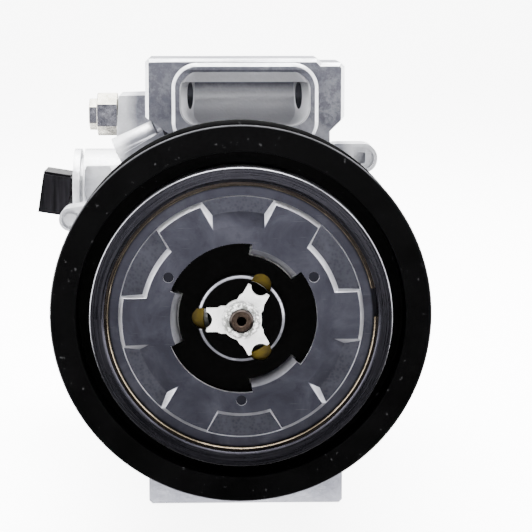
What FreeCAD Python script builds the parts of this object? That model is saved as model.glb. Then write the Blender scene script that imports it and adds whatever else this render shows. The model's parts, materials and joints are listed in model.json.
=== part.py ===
import FreeCAD, Part
import math
import os

from FreeCAD import Vector

# Clutchless automotive air-conditioning compressor, variable swash plate, six cylinders.
# Millimetres. The shaft lies along Y with the pulley towards -Y, and Z is up.
# The origin is on the shaft axis, in the middle plane of the belt grooves.

# --- driving dimensions -------------------------------------------------------------
RIM_R = 55.0            # belt pulley, over its side flanges
RIM_HALF = 12.25        # half the pulley's width
RIM_FLAT_R = 47.5       # inner edge of the flat front face
RIB_PITCH = 3.56        # belt rib pitch
RIB_COUNT = 6
RIB_TIP_R = 53.6
RIB_ROOT_R = 50.9
RECESS_Y = -4.0         # floor of the recess between rim and lip
LIP_R = 43.4            # steel insert
LIP_INNER_R = 39.2
LIP_Y = -16.0           # front edge of the lip
SEAT_R = 25.0           # pulley bearing outer radius
BEARING_FRONT = -9.5
BEARING_BACK = 10.5
NOSE_R = 17.5           # pulley bearing inner radius, and the housing's nose
NOSE_BORE_R = 12.6
NOSE_FRONT = -11.5
PITCH_R = 21.35         # pulley bearing ball circle
BALL_R = 2.3
BALL_ROWS = (-4.5, 5.5)
BALLS_PER_ROW = 16

STAR_Y = -15.7          # front of the cover's raised face
FLANGE_Y = -13.7        # front of the cover's outer flange
POCKET_Y = -13.5        # floor of the panels
SHEET = 1.2             # cover sheet thickness
COVER_R = 38.9
COVER_HOLE_R = 21.7
PANEL_FIRST = -88.5     # direction of the first panel, degrees from +X towards +Z
PANEL_HALVES = (19.2, 16.2)   # half a panel's angle at its outer and inner ends
DISC_FRONT = -13.8      # limiter disc, outer part
CENTRE_FRONT = -15.9    # limiter disc, raised centre
DRIVE_ANGLES = (60.0, 180.0, 300.0)
HOLE_PITCH_R = 11.0
HOLE_R = 3.1
ARM_FRONT = -17.9
BOSS_FRONT = -19.6
SLEEVE_R = 5.8          # hub sleeve, through the limiter disc
SHAFT_FRONT = -20.4
SHAFT_BACK = 108.0
SHAFT_R = 8.5

BODY_R = 50.2
CASE_INNER_R = 46.4
WALL_BACK = 30.0        # inner face of the crankcase's front wall
BLOCK_FRONT = 84.0      # cylinder block
BLOCK_BACK = 128.0
PLATES = (("suction_reed_plate", 0.5), ("valve_plate", 3.5), ("discharge_reed_plate", 0.5),
          ("reed_stop_gasket", 1.2))
REAR_FRONT = BLOCK_BACK + sum(thickness for _, thickness in PLATES)
REAR_BACK = 178.0
EAR_PITCH_R = 50.6      # through bolts
EAR_R = 5.6
EAR_FIRST = 10.0
EAR_FRONT = 66.0
EAR_BACK = 156.0
BOLT_R = 3.0
BOLT_HOLE_R = 3.3
BOLT_HEAD_R = 5.0
BOLT_SEAT = 150.0       # the heads' seats, sunk in the rear housing
GASKET = 0.5

BOSS_X = (-29.3, 33.3)  # transverse mounting bosses
BOSS_Y = (43.0, 70.0)
BOSS_Z = 71.7           # outer face, from the shaft axis
BOSS_INNER_Z = 53.5
MOUNT_Y = 57.0          # mounting bolt axis
MOUNT_Z = 59.6
MOUNT_R = 4.4
POCKET_X = (-18.0, 22.0)
POCKET_BACK = 56.5
UPPER_POCKET_BACK = 64.0

CYLINDERS = 6
CYLINDER_PITCH_R = 32.5
BORE_R = 13.2
PISTON_R = 13.15
PLATE_Y = 66.0          # swash plate mid-plane at its smallest tilt
PLATE_R = 42.0
PLATE_HALF = 3.2
HUB_HALF = 6.5
HUB_R = 19.5
TILT_MAX = 17.0
TILT_Z = CYLINDER_PITCH_R   # the plate tilts about the line x, y = PLATE_Y, z = TILT_Z
PIN_Y = 48.0            # guide pin
PIN_Z = 20.0
PIN_R = 2.5
SHOE_SPHERE_R = 9.6
SHOE_R = 7.2
SHOE_GAP = 0.25
SLOT_HALF = 8.0
PISTON_FRONT = 54.6
PISTON_BACK = 127.4
LUG_FRONT = 34.0
LUG_BACK = 40.0
LUG_R = 25.0

VALVE_X = -60.2         # control valve, along X; outer face of its boss
VALVE_Y = 149.3
VALVE_Z = 19.0
VALVE_BOSS_R = 15.5
SUCTION_PORT = (-24.0, 22.0)
DISCHARGE_PORT = (8.0, 8.0)
PORT_THREAD = (-8.5, 16.5)
PORT_FACE = 182.0
PLUG_TILT = 9.0         # the connector rises outwards by this angle
PLUG_BASE = (-59.1, 17.9)
LOBE_X = -59.2          # side lobe of the cylinder block
LOBE_Z = 12.4
LOBE_R = 4.2
RELIEF_Y = 104.0
RELIEF_Z = 50.4
RELIEF_X = -40.4        # outer face of the relief valve's block
RELIEF_FLATS = 13.0

AXIS = Vector(0, -1, 0)  # turns from +X towards +Z
ORIGIN = Vector(0, 0, 0)


# --- helpers ------------------------------------------------------------------------
def polygon(points):
    return Part.Face(Part.makePolygon(points + [points[0]]))


def turned(profile, start=0.0, sweep=360.0):
    """A profile of (radius, y) points turned about the shaft axis."""
    face = polygon([Vector(r, y, 0) for r, y in profile])
    return spun(face.revolve(ORIGIN, AXIS, sweep), start)


def spun(shape, degrees):
    """A copy turned about the shaft axis, from +X towards +Z."""
    copy = shape.copy()
    copy.rotate(ORIGIN, AXIS, degrees)
    return copy


def around(shape, angles):
    return [spun(shape, angle) for angle in angles]


def even(count, first=0.0):
    return [first + i * 360.0 / count for i in range(count)]


def ring(r_in, r_out, y0, y1, start=0.0, sweep=360.0):
    return turned([(r_in, y0), (r_out, y0), (r_out, y1), (r_in, y1)], start, sweep)


def sector(r_in, r_out, y0, y1, middle, half):
    return ring(r_in, r_out, y0, y1, middle - half, 2 * half)


def rod(radius, y0, y1, x=0.0, z=0.0):
    return Part.makeCylinder(radius, y1 - y0, Vector(x, y0, z), Vector(0, 1, 0))


def cross_rod(radius, x0, x1, y, z):
    return Part.makeCylinder(radius, x1 - x0, Vector(x0, y, z), Vector(1, 0, 0))


def block(x0, x1, y0, y1, z0, z1):
    return Part.makeBox(x1 - x0, y1 - y0, z1 - z0, Vector(x0, y0, z0))


def rounded_block(x0, x1, y0, y1, z0, z1, radius):
    """A block whose four edges along Y are rounded."""
    whole = block(x0, x1, y0, y1, z0, z1)
    edges = [e for e in whole.Edges if abs(e.tangentAt(e.FirstParameter).y) > 0.99]
    return whole.makeFillet(radius, edges)


def rounded_wire(x0, x1, y, z0, z1, radius):
    """The outline of a rounded rectangle in the plane at y."""
    slab = rounded_block(x0, x1, y, y + 1.0, z0, z1, radius)
    face = [f for f in slab.Faces if f.BoundBox.YMax < y + 0.01][0]
    return face.OuterWire


def outline(points, y0, y1):
    """An outline of (x, z) points, run along Y."""
    return polygon([Vector(x, y0, z) for x, z in points]).extrude(Vector(0, y1 - y0, 0))


def joined(shapes):
    return shapes[0].multiFuse(shapes[1:]).removeSplitter()


def torus(pitch_r, radius, y):
    return Part.makeTorus(pitch_r, radius, Vector(0, y, 0), Vector(0, 1, 0))


def coil(radius, wire_r, length, turns):
    """A coil spring standing on the plane z = 0."""
    pitch = (length - 2 * wire_r) / turns
    path = Part.makeHelix(pitch, length - 2 * wire_r, radius)
    path.translate(Vector(0, 0, wire_r))
    rim = Part.Wire(Part.makeCircle(wire_r, Vector(radius, 0, wire_r), Vector(0, 1, 0)))
    return Part.Wire(path).makePipeShell([rim], True, True)


def laid(shape, base, direction):
    """A shape made along +Z, laid along a direction from a base point."""
    copy = shape.copy()
    copy.Placement = FreeCAD.Placement(base, FreeCAD.Rotation(Vector(0, 0, 1), direction))
    return copy


def polar(radius, degrees):
    return radius * math.cos(math.radians(degrees)), radius * math.sin(math.radians(degrees))


def save(name, shape):
    shape.exportStep("parts/" + name + ".step")


# --- pulley and hub -----------------------------------------------------------------
def pulley_rim():
    half = RIB_COUNT * RIB_PITCH / 2
    profile = [(RIM_FLAT_R, -RIM_HALF), (RIM_R - 0.4, -RIM_HALF), (RIM_R, -RIM_HALF + 0.4),
               (RIM_R, -half - 0.3)]
    for i in range(RIB_COUNT):
        middle = -half + (i + 0.5) * RIB_PITCH
        profile += [(RIB_TIP_R, middle - 1.5), (RIB_ROOT_R, middle - 0.45),
                    (RIB_ROOT_R, middle + 0.45), (RIB_TIP_R, middle + 1.5)]
    profile += [(RIM_R, half + 0.3), (RIM_R, RIM_HALF - 0.7), (RIM_R - 0.7, RIM_HALF),
                (LIP_R, RIM_HALF), (LIP_R, RECESS_Y), (RIM_FLAT_R, RECESS_Y)]
    return turned(profile)


def pulley_insert():
    shell = turned([
        (LIP_R, LIP_Y + 0.4), (LIP_R - 0.35, LIP_Y), (LIP_INNER_R + 0.8, LIP_Y),
        (LIP_INNER_R, LIP_Y + 0.6), (LIP_INNER_R, -15.25), (41.3, -15.25), (41.3, -13.65),
        (LIP_INNER_R, -13.65), (LIP_INNER_R, -12.5), (37.9, -12.5), (37.9, 4.0), (28.3, 4.0),
        (28.3, BEARING_FRONT), (SEAT_R, BEARING_FRONT), (SEAT_R, BEARING_BACK),
        (24.0, BEARING_BACK), (24.0, 11.6), (28.3, 11.6), (28.3, 7.5), (LIP_R, 7.5)])
    rib = sector(28.0, 38.2, -9.0, 4.5, PANEL_FIRST + 30.0, 3.5)
    return joined([shell] + around(rib, even(6)))


def cover_snap_ring():
    gap = sector(37.0, 42.0, -16.0, -13.0, 6.6, 6.2)
    profile = [(38.0, -14.7), (38.4, -15.2), (41.0, -15.2), (41.2, -15.0), (41.2, -13.9),
               (41.0, -13.7), (38.4, -13.7), (38.0, -14.2)]
    return turned(profile).cut(gap)


def panel_cutter(middle, inner_floor_r, inner_top_r, wall):
    """A tapered cutter for one panel: its floor is smaller than its mouth by the angle of
    its side walls, and it narrows toward the shaft."""
    def wire(y, r_in, r_out, outer_half, inner_half):
        def at(r, angle):
            x, z = polar(r, middle + angle)
            return Vector(x, y, z)
        return Part.Wire([
            Part.makeLine(at(r_in, -inner_half), at(r_out, -outer_half)),
            Part.Arc(at(r_out, -outer_half), at(r_out, 0.0), at(r_out, outer_half)).toShape(),
            Part.makeLine(at(r_out, outer_half), at(r_in, inner_half)),
            Part.Arc(at(r_in, inner_half), at(r_in, 0.0), at(r_in, -inner_half)).toShape()])
    outer, inner = PANEL_HALVES
    floor = wire(POCKET_Y, inner_floor_r, 34.9, outer - wall, inner - wall)
    mouth = wire(STAR_Y - 0.4, inner_top_r, 35.8, outer, inner)
    return Part.makeLoft([floor, mouth], True, True)


def damper_cover():
    base = -9.0
    skin = turned([(COVER_HOLE_R, base), (COVER_HOLE_R, STAR_Y), (34.0, STAR_Y),
                   (35.2, FLANGE_Y), (COVER_R, FLANGE_Y), (COVER_R, base)])
    tab = turned([(COVER_HOLE_R + 0.5, base), (COVER_HOLE_R + 0.5, STAR_Y), (20.3, STAR_Y),
                  (18.4, -12.6), (18.4, base)], -21.5, 43.0)
    skin = joined([skin] + around(tab, DRIVE_ANGLES))
    for i, middle in enumerate(even(6, PANEL_FIRST)):
        deep = i % 2 == 0
        panel = (29.0, 27.4, 1.2) if deep else (30.6, 25.9, 2.2)
        skin = skin.cut(panel_cutter(middle, *panel))
    dimples = []
    for angle in even(3, -90.0):
        x, z = polar(23.9, angle)
        dimples.append(rod(1.5, STAR_Y - 1.0, STAR_Y + 0.6, x, z))
    skin = skin.cut(Part.makeCompound(dimples))
    inside = skin.copy()
    inside.translate(Vector(0, SHEET, 0))
    return skin.cut(inside).removeSplitter()


def rubber_dampers():
    one = sector(28.7, 37.5, -12.1, 3.9, PANEL_FIRST, 24.0)
    return Part.makeCompound(around(one, even(6)))


def limiter_disc():
    disc = turned([
        (SLEEVE_R + 0.05, CENTRE_FRONT), (11.4, CENTRE_FRONT), (12.7, CENTRE_FRONT + 1.0),
        (12.7, DISC_FRONT), (24.6, DISC_FRONT), (24.6, DISC_FRONT + SHEET),
        (12.0, DISC_FRONT + SHEET), (11.4, CENTRE_FRONT + 1.6),
        (SLEEVE_R + 0.05, CENTRE_FRONT + 1.6)])
    slot = sector(18.0, 21.4, -15.0, -11.0, 0.0, 23.0)
    hole = rod(HOLE_R, -17.0, -11.0, HOLE_PITCH_R, 0.0)
    return disc.cut(Part.makeCompound(around(slot, DRIVE_ANGLES) + around(hole, DRIVE_ANGLES)))


def hub_spider():
    sleeve = turned([(0.0, -5.0), (SLEEVE_R, -5.0), (SLEEVE_R, ARM_FRONT), (5.3, ARM_FRONT),
                     (5.1, BOSS_FRONT + 0.7), (4.3, BOSS_FRONT), (0.0, BOSS_FRONT)])
    arm = outline([(0.0, -3.9), (5.8, -3.9), (6.8, -3.4), (10.0, -3.4), (10.0, 3.4),
                   (6.8, 3.4), (5.8, 3.9), (0.0, 3.9)], ARM_FRONT, CENTRE_FRONT)
    arm = arm.cut(rod(2.7, -19.0, -11.0, HOLE_PITCH_R, 0.0))
    body = joined([sleeve] + around(arm, DRIVE_ANGLES))
    bore = turned([(0.0, -21.0), (3.45, -21.0), (3.45, -16.5), (4.45, -15.5), (4.45, -4.0),
                   (0.0, -4.0)])
    return body.cut(bore)


def drive_shaft():
    shaft = turned([
        (0.0, SHAFT_FRONT), (2.9, SHAFT_FRONT), (3.3, SHAFT_FRONT + 0.4), (3.3, -16.5),
        (4.4, -15.4), (4.4, -4.9), (6.5, -4.9), (6.5, 8.0), (SHAFT_R, 10.0),
        (SHAFT_R, SHAFT_BACK - 1.0), (SHAFT_R - 1.0, SHAFT_BACK), (0.0, SHAFT_BACK)])
    centre = turned([(0.0, SHAFT_FRONT - 1.0), (1.5, SHAFT_FRONT - 1.0), (1.5, SHAFT_FRONT),
                     (1.2, SHAFT_FRONT + 0.4), (1.2, SHAFT_FRONT + 6.0), (0.0, SHAFT_FRONT + 6.8)])
    return shaft.cut(centre)


# --- pulley bearing -----------------------------------------------------------------
def ball_tracks():
    return Part.makeCompound([torus(PITCH_R, BALL_R + 0.06, y) for y in BALL_ROWS])


def bearing_balls():
    balls = []
    for row, y in enumerate(BALL_ROWS):
        ball = Part.makeSphere(BALL_R, Vector(PITCH_R, y, 0))
        balls += around(ball, even(BALLS_PER_ROW, row * 180.0 / BALLS_PER_ROW))
    return Part.makeCompound(balls)


def bearing_cage():
    cage = ring(20.95, 21.75, -8.0, 9.0)
    holes = []
    for row, y in enumerate(BALL_ROWS):
        hole = Part.makeCylinder(BALL_R + 0.08, 4.0, Vector(PITCH_R - 2.0, y, 0), Vector(1, 0, 0))
        holes += around(hole, even(BALLS_PER_ROW, row * 180.0 / BALLS_PER_ROW))
    return cage.cut(Part.makeCompound(holes))


def pulley_bearing():
    save("pulley_bearing_inner_race",
         ring(NOSE_R, 20.3, BEARING_FRONT, BEARING_BACK).cut(ball_tracks()))
    save("pulley_bearing_outer_race",
         ring(22.4, SEAT_R, BEARING_FRONT, BEARING_BACK).cut(ball_tracks()))
    save("pulley_bearing_balls", bearing_balls())
    save("pulley_bearing_cage", bearing_cage())
    save("pulley_bearing_seals", Part.makeCompound([
        ring(20.55, 22.4, BEARING_FRONT + 0.1, BEARING_FRONT + 0.8),
        ring(20.55, 22.4, BEARING_BACK - 0.8, BEARING_BACK - 0.1)]))
    circlip = ring(16.4, 19.4, -10.8, -9.6)
    save("bearing_circlip", circlip.cut(sector(15.0, 21.0, -12.0, -9.0, -90.0, 9.0)))


# --- casings ------------------------------------------------------------------------
def ears(y0, y1):
    """Six columns for the through bolts, joined to the round body."""
    return around(rod(EAR_R, y0, y1, EAR_PITCH_R, 0.0), even(6, EAR_FIRST))


def ear_holes(radius, y0, y1):
    return Part.makeCompound(around(rod(radius, y0, y1, EAR_PITCH_R, 0.0), even(6, EAR_FIRST)))


def pocket_side(front, bottom, top):
    """Side view of the upper pocket: a scooped floor under a ledge, as wide as the boss."""
    back = UPPER_POCKET_BACK - 0.5
    ledge_z = MOUNT_Z + MOUNT_R + 0.2
    scoop = back - MOUNT_Y + 4.0

    def at(y, z):
        return Vector(BOSS_X[0], y, z)
    corner = at(back - scoop * (1 - math.sqrt(0.5)), bottom + scoop * (1 - math.sqrt(0.5)))
    floor = Part.Arc(at(back - scoop, bottom), corner, at(back, bottom + scoop)).toShape()
    rest = Part.makePolygon([at(back, bottom + scoop), at(back, ledge_z), at(47.5, ledge_z),
                             at(48.5, top), at(front, top), at(front, bottom),
                             at(back - scoop, bottom)])
    face = Part.Face(Part.Wire([floor] + rest.Edges))
    return face.extrude(Vector(BOSS_X[1] - BOSS_X[0], 0, 0))


def mounting_boss():
    """The upper boss: two blocks with a pocket between them, on a neck."""
    x0, x1 = BOSS_X
    y0, y1 = BOSS_Y
    step_x = 24.8
    body = outline([
        (x0, BOSS_INNER_Z), (x0, BOSS_Z - 1.0), (x0 + 1.0, BOSS_Z), (step_x, BOSS_Z),
        (step_x + 1.3, BOSS_Z - 1.3), (x1 - 1.2, BOSS_Z - 1.3), (x1, BOSS_Z - 2.5),
        (x1, BOSS_INNER_Z), (x1 - 4.6, BOSS_INNER_Z - 4.5), (x1 - 4.6, 40.0),
        (x0 + 7.0, 40.0), (x0 + 7.0, BOSS_INNER_Z - 5.0)], y0, y1)
    front = [e for e in body.Edges
             if all(abs(v.Y - y0) < 0.01 and v.Z > BOSS_INNER_Z - 0.1 for v in e.Vertexes)
             and not (abs(e.Vertexes[0].Z - BOSS_INNER_Z) < 0.1
                      and abs(e.Vertexes[1].Z - BOSS_INNER_Z) < 0.1)]
    body = body.makeChamfer(1.1, front)
    px0, px1 = POCKET_X
    rim_front = y0 - 1.4
    rim = rounded_block(px0 - 3.0, px1 + 3.0, rim_front, y0 + 2.0, 44.0, BOSS_Z - 1.3, 8.0)
    rim = rim.makeChamfer(1.1, [e for e in rim.Edges
                                if all(abs(v.Y - rim_front) < 0.01 for v in e.Vertexes)])
    mouth = (50.6, BOSS_Z - 3.9)
    pocket = Part.makeLoft([
        rounded_wire(px0 - 0.6, px1 + 0.6, y0 - 2.0, *mouth, 6.0),
        rounded_wire(px0 + 4.0, px1 - 4.0, UPPER_POCKET_BACK, *mouth, 4.5)], True, True)
    pocket = pocket.common(pocket_side(y0 - 3.0, *mouth))
    bolt_way = cross_rod(MOUNT_R, x0 - 5.0, x1 + 5.0, MOUNT_Y, MOUNT_Z)
    return joined([body, rim]), Part.makeCompound([pocket, bolt_way])


def mounting_foot():
    """The lower boss: a plain block with the same bolt way and a cored pocket."""
    x0, x1 = BOSS_X
    y0, y1 = BOSS_Y
    body = outline([
        (x0, -BOSS_INNER_Z), (x0, -BOSS_Z + 1.0), (x0 + 1.0, -BOSS_Z), (x1 - 1.0, -BOSS_Z),
        (x1, -BOSS_Z + 1.0), (x1, -BOSS_INNER_Z), (x1 - 5.0, -BOSS_INNER_Z + 5.0),
        (x1 - 5.0, -40.0), (x0 + 5.0, -40.0), (x0 + 5.0, -BOSS_INNER_Z + 5.0)], y0, y1)
    px0, px1 = POCKET_X
    pocket = rounded_block(px0, px1, y0 - 2.0, POCKET_BACK, -BOSS_Z + 3.2, -52.0, 5.5)
    bolt_way = cross_rod(MOUNT_R, x0 - 5.0, x1 + 5.0, MOUNT_Y, -MOUNT_Z)
    return body, Part.makeCompound([pocket, bolt_way])


def front_housing():
    back = BLOCK_FRONT - GASKET
    shell = turned([
        (5.0, NOSE_FRONT), (NOSE_R - 0.6, NOSE_FRONT), (NOSE_R, NOSE_FRONT + 0.5),
        (NOSE_R, -10.9), (16.3, -10.9), (16.3, BEARING_FRONT), (NOSE_R, BEARING_FRONT),
        (NOSE_R, BEARING_BACK), (20.2, BEARING_BACK), (20.2, 13.4), (30.0, 14.0), (43.0, 17.0),
        (BODY_R, 25.0), (BODY_R, back), (5.0, back)])
    lug = rounded_block(28.0, 46.4, 72.0, back, 32.8, 42.6, 4.8)
    lug = lug.cut(rounded_block(20.0, 45.2, 70.0, 72.8, 34.0, 41.4, 3.6))
    lug = lug.cut(rounded_block(38.6, 42.4, 70.0, 75.5, 35.9, 39.7, 0.6))
    boss, boss_cut = mounting_boss()
    foot, foot_cut = mounting_foot()
    shoulder = Part.makeCylinder(5.2, 14.0, Vector(-38.4, 53.0, 41.2), Vector(13.0, 0, 6.0))
    web = outline([(-36.0, 30.0), (-36.0, 42.0), (-24.0, 49.0), (-20.0, 40.0)], 45.0, 70.0)
    body = joined([shell, lug, boss, foot, shoulder, web] + ears(EAR_FRONT, back))
    hollow = turned([
        (0.0, -13.0), (NOSE_BORE_R, -13.0), (NOSE_BORE_R, -5.6), (13.5, -5.6), (13.5, -4.3),
        (NOSE_BORE_R, -4.3), (NOSE_BORE_R, WALL_BACK), (44.8, WALL_BACK),
        (CASE_INNER_R, WALL_BACK + 1.6), (CASE_INNER_R, BLOCK_FRONT + 1.0),
        (0.0, BLOCK_FRONT + 1.0)])
    body = body.cut(hollow)
    body = body.cut(Part.makeCompound([boss_cut, foot_cut]))
    return body.cut(ear_holes(BOLT_R, EAR_FRONT + 4.0, BLOCK_FRONT + 1.0))


def cylinder_block():
    casing = rod(BODY_R, BLOCK_FRONT, BLOCK_BACK)
    relief_block = outline([
        (RELIEF_X - 1.2, 38.0), (RELIEF_X, 57.4), (-20.0, 58.0), (-20.0, 30.0),
        (-34.0, 30.0)], 92.0, 118.0)
    lobe = joined([rod(LOBE_R, 112.0, 125.0, LOBE_X, LOBE_Z),
                   outline([(LOBE_X, LOBE_Z - LOBE_R), (LOBE_X, LOBE_Z + LOBE_R),
                            (-40.0, LOBE_Z + LOBE_R + 3.0), (-40.0, LOBE_Z - LOBE_R - 6.0)],
                           112.0, 125.0)])
    spot = rod(3.3, 111.0, 112.7, LOBE_X, LOBE_Z).cut(rod(2.3, 111.0, 113.0, LOBE_X, LOBE_Z))
    body = joined([casing, relief_block, lobe.cut(spot)] + ears(BLOCK_FRONT, BLOCK_BACK))
    bores = around(rod(BORE_R, BLOCK_FRONT - 1.0, BLOCK_BACK + 1.0, CYLINDER_PITCH_R, 0.0),
                   even(CYLINDERS))
    centre = rod(NOSE_BORE_R, BLOCK_FRONT - 1.0, 114.0)
    relief_way = Part.makeCompound([
        cross_rod(5.0, RELIEF_X - 5.0, -29.0, RELIEF_Y, RELIEF_Z),
        cross_rod(2.0, -30.0, -24.0, RELIEF_Y, RELIEF_Z)])
    body = body.cut(Part.makeCompound(bores + [centre]))
    body = body.cut(relief_way)
    return body.cut(ear_holes(BOLT_HOLE_R, BLOCK_FRONT - 1.0, BLOCK_BACK + 1.0))


def valve_rod(radius, start, end):
    """A bar on the control valve's axis, measured outwards from its boss's face."""
    return cross_rod(radius, VALVE_X - end, VALVE_X - start, VALVE_Y, VALVE_Z)


def rear_housing():
    cap = turned([(0.0, REAR_FRONT), (BODY_R, REAR_FRONT), (BODY_R, 168.0), (46.0, 174.0),
                  (38.0, REAR_BACK), (0.0, REAR_BACK)])
    port_pad = rounded_block(-37.0, 20.0, 165.0, PORT_FACE, -4.0, 35.0, 8.0)
    valve_boss = joined([valve_rod(VALVE_BOSS_R, -42.0, -3.8), valve_rod(12.0, -4.0, -2.0),
                         valve_rod(VALVE_BOSS_R, -2.5, 0.0)])
    dish = rounded_block(-55.8, -46.0, 130.0, 137.5, 15.0, 30.0, 3.0)
    body = joined([cap, port_pad, valve_boss.cut(dish)] + ears(REAR_FRONT, EAR_BACK))
    discharge = rod(21.0, REAR_FRONT - 1.0, 164.0)
    suction = ring(25.0, 43.5, REAR_FRONT - 1.0, 165.0)
    # the wall round the control valve stays in the suction chamber
    body = body.cut(suction.cut(valve_rod(12.0, -42.0, 0.0)))
    body = body.cut(discharge)
    body = body.cut(Part.makeCompound([
        valve_rod(8.2, -36.0, 1.0), valve_rod(9.6, -14.0, 1.0),
        rod(8.5, 164.0, PORT_FACE + 1.0, *SUCTION_PORT),
        rod(6.5, 163.0, PORT_FACE + 1.0, *DISCHARGE_PORT),
        rod(3.4, PORT_FACE - 12.0, PORT_FACE + 1.0, *PORT_THREAD)]))
    body = body.cut(ear_holes(BOLT_HOLE_R, REAR_FRONT - 1.0, BOLT_SEAT + 1.0))
    return body.cut(ear_holes(BOLT_HEAD_R + 0.5, BOLT_SEAT, REAR_BACK))


def through_bolts():
    """Socket screws put in from the rear and threaded into the front housing."""
    corners = [(EAR_PITCH_R + 2.9 * math.cos(math.radians(a)), 2.9 * math.sin(math.radians(a)))
               for a in even(6)]
    bolt = joined([rod(BOLT_R, EAR_FRONT + 7.0, BOLT_SEAT + 1.0, EAR_PITCH_R, 0.0),
                   rod(BOLT_HEAD_R, BOLT_SEAT, BOLT_SEAT + 6.0, EAR_PITCH_R, 0.0)])
    bolt = bolt.cut(outline(corners, BOLT_SEAT + 2.5, BOLT_SEAT + 7.0))
    return Part.makeCompound(around(bolt, even(6, EAR_FIRST)))


def body_gasket():
    y0, y1 = BLOCK_FRONT - GASKET, BLOCK_FRONT
    flat = joined([ring(CASE_INNER_R, BODY_R, y0, y1)] + ears(y0, y1))
    flat = flat.cut(rod(CASE_INNER_R, y0 - 1.0, y1 + 1.0))
    return flat.cut(ear_holes(BOLT_HOLE_R, y0 - 1.0, y1 + 1.0))


# --- seals and shaft bearings -------------------------------------------------------
def roller_set(y0, y1):
    """Needle rollers with the two end rings of their cage."""
    rollers = around(rod(1.45, y0 + 1.6, y1 - 1.6, 10.05, 0.0), even(14))
    rings = [ring(8.9, 11.2, y0 + 0.2, y0 + 1.5), ring(8.9, 11.2, y1 - 1.5, y1 - 0.2)]
    return Part.makeCompound(rollers + rings)


def shaft_parts():
    lip = turned([(NOSE_BORE_R, -4.0), (NOSE_BORE_R, 4.0), (10.4, 4.0), (10.4, -1.6),
                  (8.2, -1.6), (6.55, 1.4), (6.55, -0.2), (7.4, -4.0)])
    save("shaft_lip_seal", lip)
    circlip = ring(9.8, 13.4, -5.5, -4.4)
    save("seal_circlip", circlip.cut(sector(9.0, 14.0, -6.0, -4.0, 90.0, 10.0)))
    save("nose_cover_ring", turned([(10.8, -12.3), (17.0, -12.3), (17.0, NOSE_FRONT),
                                    (13.0, NOSE_FRONT), (13.0, -11.9), (10.8, -11.9)]))
    save("front_needle_cup", ring(11.6, NOSE_BORE_R, 13.0, 28.0))
    save("front_needle_rollers", roller_set(13.0, 28.0))
    save("rear_needle_cup", ring(11.6, NOSE_BORE_R, 90.0, 105.0))
    save("rear_needle_rollers", roller_set(90.0, 105.0))
    washers = [ring(13.6, 24.0, WALL_BACK, WALL_BACK + 1.0),
               ring(13.6, 24.0, LUG_FRONT - 1.0, LUG_FRONT)]
    save("thrust_washers", Part.makeCompound(washers))
    roller = Part.makeCylinder(0.98, 7.0, Vector(15.0, WALL_BACK + 2.0, 0), Vector(1, 0, 0))
    save("thrust_rollers", Part.makeCompound(around(roller, even(18))))


# --- swash plate and its guide ------------------------------------------------------
def guide_radius():
    return math.hypot(PLATE_Y - PIN_Y, TILT_Z - PIN_Z)


def guide_slot(half, x0, x1):
    """The arc that the guide pin follows about the tilt line, as wide as 2 * half."""
    radius = guide_radius()
    centre = Vector(x0, PLATE_Y, TILT_Z)
    start = Vector(0, PIN_Y - PLATE_Y, PIN_Z - TILT_Z).normalize()

    def at(r, degrees):
        a = math.radians(degrees)
        y = start.y * math.cos(a) + start.z * math.sin(a)
        z = -start.y * math.sin(a) + start.z * math.cos(a)
        return centre + Vector(0, y, z) * r
    low, middle, high = 0.0, TILT_MAX / 2, TILT_MAX
    edge = Part.Wire([
        Part.Arc(at(radius + half, low), at(radius + half, middle),
                 at(radius + half, high)).toShape(),
        Part.makeLine(at(radius + half, high), at(radius - half, high)),
        Part.Arc(at(radius - half, high), at(radius - half, middle),
                 at(radius - half, low)).toShape(),
        Part.makeLine(at(radius - half, low), at(radius + half, low))])
    sweep = Part.Face(edge).extrude(Vector(x1 - x0, 0, 0))
    ends = [Part.makeCylinder(half, x1 - x0, at(radius, a), Vector(1, 0, 0)) for a in (low, high)]
    return joined([sweep] + ends)


def lug_plate():
    disc = turned([(SHAFT_R + 0.06, LUG_FRONT), (LUG_R, LUG_FRONT), (LUG_R, LUG_BACK),
                   (14.0, LUG_BACK), (14.0, LUG_BACK + 2.6), (SHAFT_R + 0.06, LUG_BACK + 2.6)])
    arm = block(4.8, 11.6, LUG_BACK - 1.0, PIN_Y + 4.4, 14.8, 30.2)
    other = block(-11.6, -4.8, LUG_BACK - 1.0, PIN_Y + 4.4, 14.8, 30.2)
    weight = sector(18.0, LUG_R, LUG_BACK - 1.0, LUG_BACK + 1.2, -90.0, 50.0)
    body = joined([disc, arm, other, weight])
    return body.cut(guide_slot(PIN_R + 0.1, -15.0, 15.0))


def swash_plate():
    disc = rod(PLATE_R, PLATE_Y - PLATE_HALF, PLATE_Y + PLATE_HALF)
    hub = rod(HUB_R, PLATE_Y - HUB_HALF, PLATE_Y + HUB_HALF)
    arm = joined([block(-4.2, 4.2, PIN_Y, PLATE_Y - 4.0, PIN_Z - 4.2, PIN_Z + 4.2),
                  cross_rod(4.2, -4.2, 4.2, PIN_Y, PIN_Z)])
    body = joined([disc, hub, arm])
    lobes = [rod(9.0, 50.0, 80.0, 0.0, z) for z in (-5.4, 1.6)]
    hole = joined(lobes + [block(-9.0, 9.0, 50.0, 80.0, -5.4, 1.6)])
    return body.cut(hole).cut(cross_rod(PIN_R, -5.0, 5.0, PIN_Y, PIN_Z))


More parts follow.
